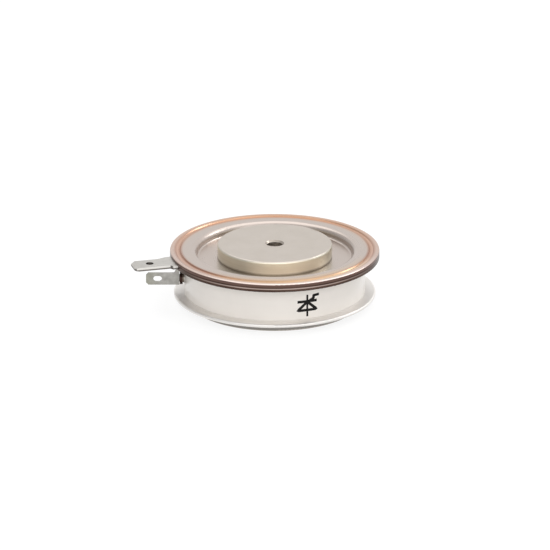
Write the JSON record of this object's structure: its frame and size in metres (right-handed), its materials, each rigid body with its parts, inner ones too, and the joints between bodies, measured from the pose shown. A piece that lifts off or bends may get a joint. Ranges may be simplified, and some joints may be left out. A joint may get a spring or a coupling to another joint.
{
  "type": "disc thyristor",
  "caption": "Flat press-pack power thyristor: glazed ceramic ring with a cold-welded metal rim, round contact poles on both faces, a gate tab and an auxiliary cathode tab.",
  "frame": {"origin": "on the capsule's axis, at the anode contact face, which is the mouth of the anode locating bore", "axes": "+Z along the capsule's axis from the anode to the cathode, -X along the gate tab"},
  "size_m": [0.0556, 0.047, 0.014],
  "materials": {
    "nickel_plate": "satin nickel plate on copper",
    "lid_sheet": "satin nickel-plated copper sheet",
    "copper": "satin copper",
    "glazed_alumina": "white glaze",
    "flange_plate": "satin nickel-plated copper sheet",
    "tinned_sheet": "tinned sheet",
    "gate_metal": "oxidised nickel-iron",
    "molybdenum": "lapped molybdenum",
    "silicon": "polished silicon",
    "silicone_rubber": "matte moulded rubber",
    "white_plastic": "matte fluoropolymer",
    "spring_steel": "drawn steel wire",
    "gate_contact": "plated contact metal"
  },
  "bodies": {
    "root": {"cathode_pole": "nickel_plate", "cathode_diaphragm": "lid_sheet", "weld_flange": "copper", "ceramic_ring": "glazed_alumina", "anode_flange": "flange_plate", "anode_pole": "nickel_plate", "cathode_tab": "tinned_sheet", "gate_tube": "gate_metal", "gate_tab": "tinned_sheet", "anode_molybdenum_disc": "molybdenum", "silicon_wafer": "silicon", "cathode_molybdenum_disc": "molybdenum", "edge_rubber_ring": "silicone_rubber", "centering_ring": "white_plastic", "gate_insulator_cup": "white_plastic", "gate_spring": "spring_steel", "gate_spring_washer": "spring_steel", "gate_pin": "gate_contact", "gate_lead": "gate_contact", "gate_lead_sleeve": "white_plastic"}
  },
  "joints": []
}
